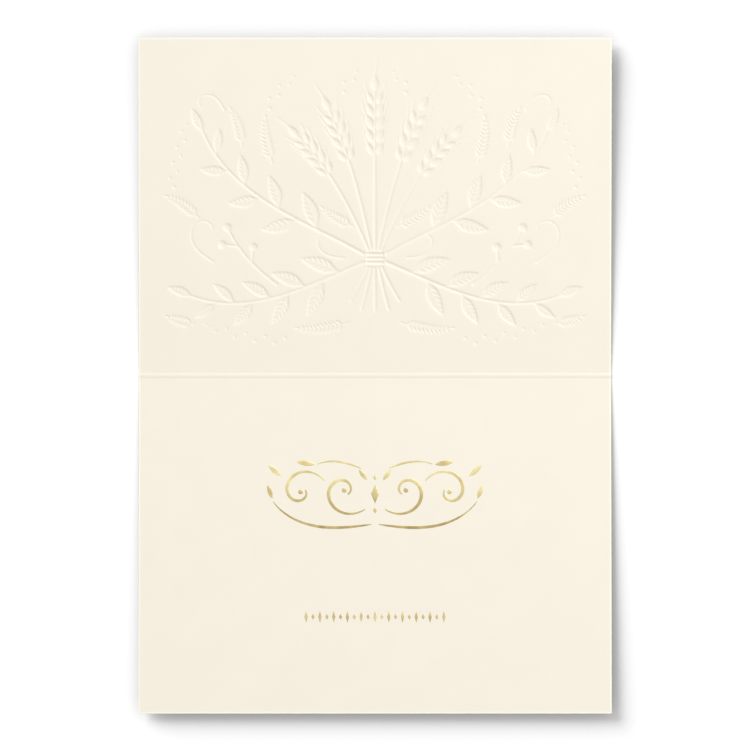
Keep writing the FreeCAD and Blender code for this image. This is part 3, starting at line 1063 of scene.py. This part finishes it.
def stamped(name, mesh, below):
    """A foil shape laid on the back panel, its middle that far from the crease."""
    co = np.empty(len(mesh.vertices) * 3, np.float32)
    mesh.vertices.foreach_get("co", co)
    flat = co.reshape(-1, 3).astype(float)
    film = np.maximum(flat[:, 2], 0.0) + FILM_BASE
    mesh.vertices.foreach_set("co", lay(flat[:, 0], flat[:, 1] - below, film).ravel())
    mesh.shade_smooth()
    mesh.set_sharp_from_angle(angle=FOIL_SHARP)
    mesh.name = name
    obj = bpy.data.objects.new(name, mesh)
    bpy.context.scene.collection.objects.link(obj)
    print(name, len(mesh.polygons), "faces")
    return obj


# %% [markdown]
# ## The scroll ornament
#
# Two scrolls on each side close in on their eyes, long strokes run under and over them, and
# single leaves and lozenges fill the gaps.

# %% Pen strokes
FULLEST_AT = 0.4
SHORT_STEPS = 24
FINEST_TIP = 0.02


def swelling(start, full, end, steps=60):
    """Half widths of a pen stroke, fullest two fifths of the way along."""
    share = np.linspace(0, 1, steps + 1)
    edge = start + (end - start) * share
    power = math.log(0.5) / math.log(FULLEST_AT)
    return (edge + (full - edge) * np.sin(math.pi * share**power)) / 2


def spiral(x, y, radius, eye, start, turn, steps=120):
    """A path that closes in on its eye by the same share at every step."""
    share = np.linspace(0, 1, steps + 1)
    reach = radius * (eye / radius) ** share
    angle = np.radians(start + turn * share)
    return np.stack([x + reach * np.cos(angle), y + reach * np.sin(angle)], axis=1)


def straight(x, y, heading, length):
    """A short straight path."""
    return sweep(x, y, heading, length, 0.0, 0.0, SHORT_STEPS)


middle = 1 - np.abs(np.linspace(-1, 1, SHORT_STEPS + 1))
POINTED = np.maximum(middle, FINEST_TIP)
LENS = np.maximum(1 - (1 - middle) ** 2, FINEST_TIP)
ROUND = np.maximum(np.sqrt(1 - (1 - middle) ** 2), FINEST_TIP)
print("short strokes have", len(middle), "widths, the least", POINTED.min())

# %% Scroll ornament
SCROLLS = [
    (11.6, 1.4, 10.6, 2.0, 222.0, 366.0, 0.35, 1.3),
    (28.0, 0.8, 10.0, 1.9, 156.0, -360.0, 0.35, 1.25),
]
EYE = 0.9
SWASHES = [
    (1.4, -11.4, -8.0, 40.0, 0.1, 3.0, 1.1),
    (5.2, 9.6, 24.0, 17.0, -1.0, -4.5, 0.8),
]
FOIL_LEAVES = [
    (22.5, 11.1, 8.0, 7.2, 2.0),
    (35.4, 6.6, 42.0, 6.4, 1.9),
    (38.6, -1.8, 70.0, 5.4, 1.7),
    (3.0, 5.2, 52.0, 5.0, 1.6),
]
LOZENGES = [(0.0, 7.0, 3.0), (6.2, 2.2, 1.5), (-6.2, 2.2, 1.5)]

half = []
for x, y, radius, eye, start, turn, thin, full in SCROLLS:
    half.append((spiral(x, y, radius, eye, start, turn), swelling(thin, full, 0.6, 120)))
    half.append((straight(x - EYE, y, 0, 2 * EYE), EYE * ROUND))
for x, y, heading, run, bend_in, bend_out, full in SWASHES:
    half.append((sweep(x, y, heading, run, bend_in, bend_out), swelling(0.3, full, 0.3)))
for x, y, heading, run, wide in FOIL_LEAVES:
    half.append((straight(x, y, heading, run), wide / 2 * LENS))
strokes = half + [(flip(path), widths) for path, widths in half]
for y, tall, wide in LOZENGES:
    strokes.append((straight(0, y - tall / 2, 90, tall), wide / 2 * POINTED))
ornament = grown_mesh(path_object("strokes", strokes), stroke, {})
foil_scroll = stamped("foil_scroll_film", ornament, SCROLL)

# %% [markdown]
# ## The rule of lozenges
#
# The short rule is one lozenge set along a line, tall and short in turn.

# %% Rule tree
rule, given, ruled = geometry_tree(
    "rule",
    [
        ("Mark", OBJECT, None),
        ("Marks", INT, 21),
        ("Length", FLOAT, 50.0),
        ("Short", FLOAT, 0.5),
    ],
)
index = add(rule, "GeometryNodeInputIndex")
gaps = add(rule, MATH, given["Marks"], 1.0, operation="SUBTRACT")
place = add(rule, MATH, index, gaps, operation="DIVIDE")
place = add(rule, MATH, place, 0.5, operation="SUBTRACT")
place = add(rule, MATH, place, given["Length"], operation="MULTIPLY")
spots = add(rule, "GeometryNodePoints", {"Count": given["Marks"]})
place = add(rule, "ShaderNodeCombineXYZ", {"X": place})
spots = add(rule, "GeometryNodeSetPosition", {"Geometry": spots, "Position": place})
odd = add(rule, MATH, index, 2.0, operation="MODULO")
less = add(rule, MATH, given["Short"], 1.0, operation="SUBTRACT")
tall = add(rule, MATH, odd, less, 1.0, operation="MULTIPLY_ADD")
scale = add(rule, "ShaderNodeCombineXYZ", 1.0, tall, 1.0)
mark = add(rule, "GeometryNodeObjectInfo", {"Object": given["Mark"]}).outputs["Geometry"]
marks = {"Points": spots, "Instance": mark, "Scale": scale}
marks = add(rule, "GeometryNodeInstanceOnPoints", marks)
real = add(rule, "GeometryNodeRealizeInstances", marks)
gilded = add(rule, "GeometryNodeSetMaterial", {"Geometry": real, "Material": gold_foil})
rule.links.new(gilded.outputs[0], ruled)
print("rule tree:", len(rule.nodes), "nodes")

# %% Rule
RULE_LENGTH = 53.0
MARK_TALL = 4.4
MARK_WIDE = 1.3
upright_mark = (straight(0, -MARK_TALL / 2, 90, MARK_TALL), MARK_WIDE / 2 * POINTED)
mark = bpy.data.objects.new("mark", grown_mesh(path_object("mark", [upright_mark]), stroke, {}))
values = {"Mark": mark, "Marks": 21, "Length": RULE_LENGTH - MARK_WIDE, "Short": 0.5}
row = grown_mesh(path_object("row", [(np.zeros((2, 2)), 1.0)]), rule, values)
foil_rule = stamped("foil_rule_film", row, RULE)

# %% [markdown]
# ## Joining the frame
#
# The three pieces ride on the card's one body and stand for the CAD nodes.

# %% Pieces
for piece, node, finish in (
    (card, "card", "ivory_card_stock"),
    (foil_scroll, "foil_scroll", "gold_foil"),
    (foil_rule, "foil_rule", "gold_foil"),
):
    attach(piece, "root")
    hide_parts(node)
    print(piece.name, "stands for", node)

# %% [markdown]
# ## Floor
#
# A plain floor, white where the camera or a reflection sees it. A little light of its own,
# which lights nothing else, keeps it white to the edge of the picture.
#
# Light that bounces finds it dark grey. A white card so close to a white floor would throw
# light back and forth and wash out its own shadow, which is deep in the photograph.

# %% Floor
FLOOR_REACH = 3.0
floor_mesh = bpy.data.meshes.new("floor")
signs = ((-1, -1), (1, -1), (1, 1), (-1, 1))
corners = [(x * FLOOR_REACH, y * FLOOR_REACH, 0) for x, y in signs]
floor_mesh.from_pydata(corners, [], [(0, 1, 2, 3)])
floor = bpy.data.objects.new("floor", floor_mesh)
bpy.context.scene.collection.objects.link(floor)
print("floor", 2 * FLOOR_REACH, "m wide")

# %% White floor
FLOOR_GLOW = 0.04
SEEN = "FFFFFF"
BOUNCED = "484848"
white, tree, shader = material("white_floor")
rays = add(tree, "ShaderNodeLightPath").outputs
seen = add(tree, MATH, rays["Is Camera Ray"], rays["Is Glossy Ray"], operation="ADD")
seen = add(tree, MATH, seen, rays["Is Transmission Ray"], operation="ADD")
glow = add(tree, MATH, seen, FLOOR_GLOW, operation="MULTIPLY")
plain = {0: seen, 6: colour(BOUNCED), 7: colour(SEEN)}
plain = add(tree, "ShaderNodeMix", plain, data_type="RGBA").outputs[2]
tree.links.new(plain, shader.inputs["Base Color"])
tree.links.new(glow.outputs[0], shader.inputs["Emission Strength"])
shader.inputs["Emission Color"].default_value = (1.0, 1.0, 1.0, 1.0)
shader.inputs["Roughness"].default_value = 1.0
shader.inputs["Specular IOR Level"].default_value = 0.0
floor_mesh.materials.append(white)
print(white.name, len(tree.nodes), "nodes")

# %% [markdown]
# ## Light
#
# The studio lights everything evenly, with a share STUDIO of full light. It looks white in
# the foil and behind the card.

# %% Studio
STUDIO = 0.44
world = bpy.data.worlds.new("studio")
world.use_nodes = True
tree = world.node_tree
rays = add(tree, "ShaderNodeLightPath").outputs
bright = add(tree, MATH, rays["Is Camera Ray"], rays["Is Glossy Ray"], operation="ADD")
bright = add(tree, MATH, bright, rays["Is Transmission Ray"], operation="ADD")
bright = add(tree, MATH, bright, 1.0 - STUDIO, STUDIO, operation="MULTIPLY_ADD")
sky = tree.nodes["Background"]
sky.inputs["Color"].default_value = (1.0, 1.0, 1.0, 1.0)
tree.links.new(bright.outputs[0], sky.inputs["Strength"])
bpy.context.scene.world = world
bpy.context.scene.view_settings.view_transform = "Standard"
print("studio gives", STUDIO, "of full light")

# %% [markdown]
# ### Lamps
#
# Each lamp is linked to what it lights, and the shares add up to full light on the card and on
# the floor. The card and its foil have a lamp at the upper right, low enough to show the
# relief, and a weak one at the lower left that fills its shadows.
#
# The floor has two suns. One stands at the upper left, so the card's shadow falls to the
# lower right, as in the photograph. A broad one overhead gives the faint shadow at the other
# edges.

# %% Lamps


def soft_lamp(name, kind, towards, distance, size, share, lit):
    """A lamp that gives a level face by the card that share of full light."""
    spot = Vector(towards).normalized()
    data = bpy.data.lights.new(name, kind)
    if kind == "AREA":
        data.size = size
        data.energy = share * math.pi**2 * distance**2 / spot.z
    else:
        data.angle = 2 * math.atan(size / 2 / distance)
        data.energy = share * math.pi / spot.z
    lamp = bpy.data.objects.new(name, data)
    lamp.location = spot * distance
    lamp.rotation_euler = (-spot).to_track_quat("-Z", "Y").to_euler()
    bpy.context.scene.collection.objects.link(lamp)
    group = bpy.data.collections.new("lit_by_" + name)
    for obj in lit:
        group.objects.link(obj)
    lamp.light_linking.receiver_collection = group
    print(name, "lamp", round(data.energy, 1), "W")


paper_and_foil = [card, foil_scroll, foil_rule]
soft_lamp("relief", "AREA", (0.45, 0.55, 0.70), 2.4, 0.5, 0.52, paper_and_foil)
soft_lamp("fill", "AREA", (-0.50, -0.60, 0.60), 0.8, 0.3, 0.04, paper_and_foil)
soft_lamp("shadow", "SUN", (-0.62, 0.60, 0.50), 1.0, 0.7, 0.44, [floor])
soft_lamp("above", "SUN", (-0.10, 0.10, 1.00), 1.0, 3.0, 0.12, [floor])
